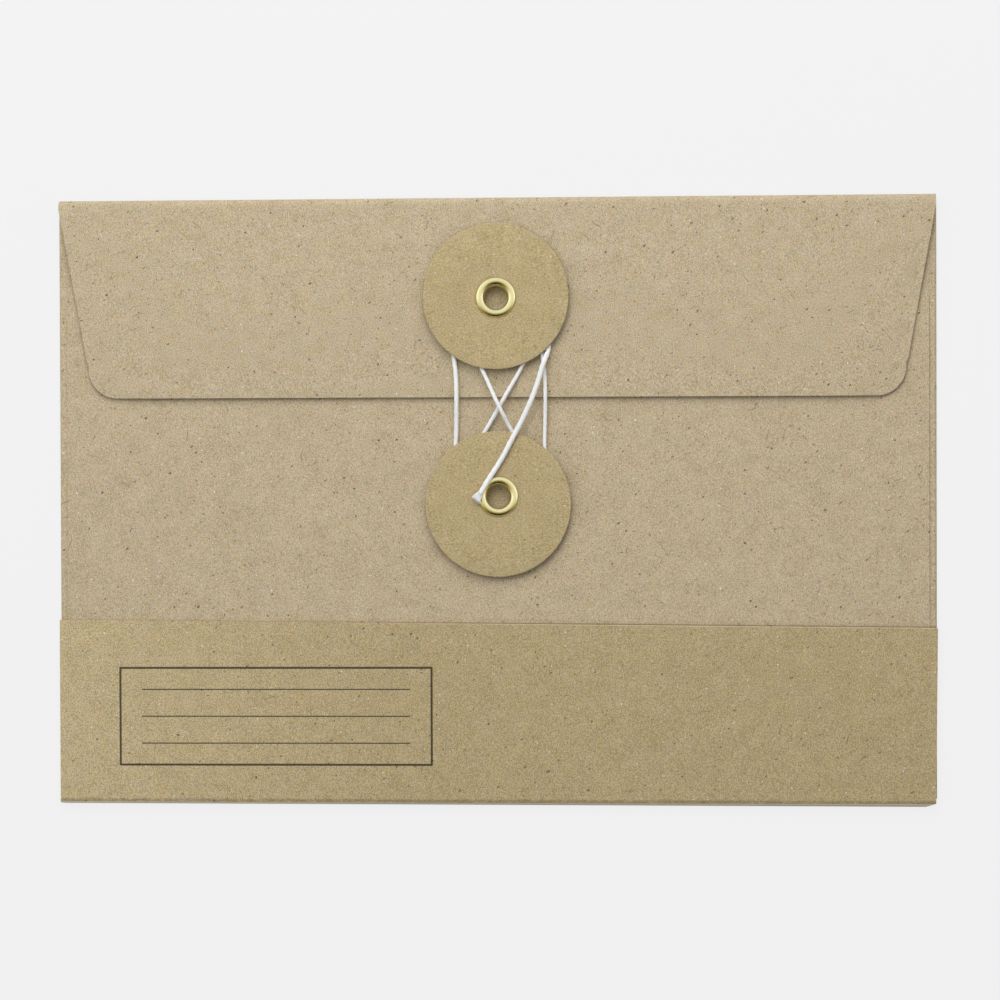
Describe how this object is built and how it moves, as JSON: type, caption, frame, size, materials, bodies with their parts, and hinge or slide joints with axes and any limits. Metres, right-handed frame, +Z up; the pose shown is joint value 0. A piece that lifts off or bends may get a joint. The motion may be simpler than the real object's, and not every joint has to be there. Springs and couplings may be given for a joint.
{
  "type": "string tie envelope",
  "caption": "Flat kraft paper envelope whose closing flap is held by a cotton string wound round card buttons on brass eyelets, with a plain paper band round its bottom.",
  "frame": {"origin": "on the surface the envelope lies on, under the middle of its outline", "axes": "+Z up out of the closure side, +Y towards the top fold where the flap turns, +X to the right of the closure"},
  "size_m": [0.1626, 0.112, 0.0056],
  "materials": {
    "kraft_paper": "uncoated, speckled fibres",
    "disc_board": "uncoated grey-backed card with a fine grain",
    "brass": "bright pressed",
    "cotton_string": "twisted cotton",
    "band_paper": "uncoated kraft",
    "glue": "dried paper glue"
  },
  "bodies": {
    "envelope": {"back_panel": "kraft_paper", "left_side_fold": "kraft_paper", "right_side_fold": "kraft_paper", "left_side_flap": "kraft_paper", "right_side_flap": "kraft_paper", "left_glue_seam": "glue", "right_glue_seam": "glue", "bottom_fold": "kraft_paper", "pocket_panel": "kraft_paper", "flap_crease": "kraft_paper", "lower_spacer": "disc_board", "lower_eyelet": "brass", "lower_washer": "brass"},
    "flap": {"closing_flap": "kraft_paper", "upper_spacer": "disc_board", "upper_eyelet": "brass", "upper_washer": "brass", "tie_string": "cotton_string", "string_frayed_end": "cotton_string"},
    "upper_button": {"upper_disc": "disc_board"},
    "lower_button": {"lower_disc": "disc_board"},
    "band": {"band_front": "band_paper", "band_bottom": "band_paper", "band_back": "band_paper"}
  },
  "joints": [
    {"name": "flap_hinge", "type": "hinge", "parent": "envelope", "child": "flap", "pos_m": [0, 0.05468, 0.00172], "axis": [-1, 0, 0], "range_deg": [0, 178], "deforming": ["flap_crease", "tie_string", "string_frayed_end"]},
    {"name": "upper_disc_spin", "type": "hinge", "parent": "flap", "child": "upper_button", "pos_m": [0.0002, 0.0378, 0.0043], "axis": [0, 0, 1], "continuous": true},
    {"name": "lower_disc_spin", "type": "hinge", "parent": "envelope", "child": "lower_button", "pos_m": [0.0005, 0.0012, 0.0031], "axis": [0, 0, 1], "continuous": true},
    {"name": "band_slide", "type": "slide", "parent": "envelope", "child": "band", "axis": [0, -1, 0], "range_m": [0, 0.036]}
  ]
}
